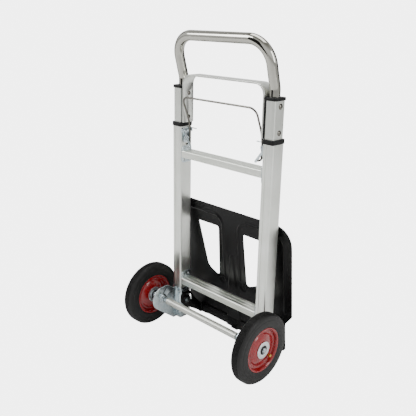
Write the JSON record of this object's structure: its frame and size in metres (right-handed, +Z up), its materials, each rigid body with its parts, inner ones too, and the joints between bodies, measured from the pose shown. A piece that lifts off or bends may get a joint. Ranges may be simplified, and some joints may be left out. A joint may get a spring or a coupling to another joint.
{
  "type": "hand truck",
  "caption": "Folding two-wheeled hand truck: a telescoping handle frame slides in twin rails over rubber-tyred wheels, with a hinged toe plate shown folded up.",
  "frame": {"origin": "on the ground, below the middle of the folded truck (middle of the bounding box in X and Y)", "axes": "+X to the right of a person holding the handle, +Y forward to the load side, +Z up; folded storage pose, standing upright"},
  "size_m": [0.4434, 0.2322, 0.816],
  "materials": {
    "anodised_rail": "extruded, matt anodised",
    "satin_strip": "rolled strip, satin",
    "chrome": "bright chrome plate",
    "cast_tube": "grainy mill finish",
    "zinc_plate": "pressed steel, bright zinc plate",
    "zinc_hardware": "turned or headed steel, zinc plate",
    "black_enamel": "semi-gloss black powder coat on pressed steel",
    "red_enamel": "gloss red enamel on pressed steel",
    "black_plastic": "moulded, fine grain",
    "brass": "turned brass",
    "tyre": "moulded rubber"
  },
  "bodies": {
    "frame": {"lower_rail_left": "anodised_rail", "lower_rail_right": "anodised_rail", "foot_plug_left": "black_plastic", "foot_plug_right": "black_plastic", "collar_left": "black_plastic", "collar_right": "black_plastic", "upper_crossbar": "anodised_rail", "lower_crossbar": "anodised_rail", "crossbar_plate_upper_left": "zinc_plate", "crossbar_plate_upper_right": "zinc_plate", "crossbar_plate_lower_left": "zinc_plate", "crossbar_plate_lower_right": "zinc_plate", "crossbar_rivets": "zinc_hardware", "axle_bracket_left": "zinc_plate", "axle_bracket_right": "zinc_plate", "bracket_rivets": "zinc_hardware", "axle_rod": "zinc_hardware", "axle_tube": "cast_tube", "axle_nuts": "zinc_hardware", "wheel_spacers": "zinc_hardware", "axle_caps": "zinc_hardware", "toe_hinge_bolts": "zinc_hardware", "toe_hinge_nuts": "zinc_hardware", "toe_stop_bolts": "zinc_hardware", "latch_bracket_left": "zinc_plate", "latch_bracket_right": "zinc_plate", "latch_pins": "zinc_hardware", "bail_guide_pegs": "zinc_hardware"},
    "upper_frame": {"upper_rail_left": "anodised_rail", "upper_rail_right": "anodised_rail", "slide_shoe_left": "black_plastic", "slide_shoe_right": "black_plastic", "top_cap_left": "black_plastic", "top_cap_right": "black_plastic", "bow_spacer_left": "black_plastic", "bow_spacer_right": "black_plastic", "flat_bow": "satin_strip", "handle_tube": "chrome", "upper_rivets": "zinc_hardware"},
    "toe_plate": {"toe_panel": "black_enamel", "toe_yoke": "black_enamel"},
    "wheel_left": {"tyre_left": "tyre", "rim_left": "red_enamel", "valve_left": "brass", "hub_left": "zinc_hardware", "hub_bearings_left": "black_plastic", "hub_plates_left": "zinc_hardware"},
    "wheel_right": {"tyre_right": "tyre", "rim_right": "red_enamel", "valve_right": "brass", "hub_right": "zinc_hardware", "hub_bearings_right": "black_plastic", "hub_plates_right": "zinc_hardware"},
    "release": {"release_bail": "chrome"},
    "latch_left": {"latch_leaf_left": "zinc_plate", "lock_pin_left": "zinc_hardware"},
    "latch_right": {"latch_leaf_right": "zinc_plate", "lock_pin_right": "zinc_hardware"}
  },
  "joints": [
    {"name": "handle_slide", "type": "slide", "parent": "frame", "child": "upper_frame", "axis": [0, 0, 1], "range_m": [0, 0.3]},
    {"name": "toe_plate_fold", "type": "hinge", "parent": "frame", "child": "toe_plate", "pos_m": [0, 0.04893, 0.0663], "axis": [-1, 0, 0], "range_deg": [0, 96]},
    {"name": "wheel_left_spin", "type": "hinge", "parent": "frame", "child": "wheel_left", "pos_m": [0, -0.02607, 0.09], "axis": [1, 0, 0], "continuous": true},
    {"name": "wheel_right_spin", "type": "hinge", "parent": "frame", "child": "wheel_right", "pos_m": [0, -0.02607, 0.09], "axis": [1, 0, 0], "continuous": true},
    {"name": "release_lift", "type": "slide", "parent": "frame", "child": "release", "axis": [0, 0, 1], "range_m": [0, 0.007], "stiffness_N_per_m": 400, "springref_m": -0.005},
    {"name": "latch_left_swing", "type": "hinge", "parent": "frame", "child": "latch_left", "pos_m": [-0.1328, 0.04693, 0.563], "axis": [0, -1, 0], "range_deg": [0, 9]},
    {"name": "latch_right_swing", "type": "hinge", "parent": "frame", "child": "latch_right", "pos_m": [0.1328, 0.04693, 0.563], "axis": [0, 1, 0], "range_deg": [0, 9]}
  ],
  "couplings": [
    {"joint": "latch_left_swing", "follows": "release_lift", "rad_per_m": 22.3},
    {"joint": "latch_right_swing", "follows": "release_lift", "rad_per_m": 22.3}
  ]
}
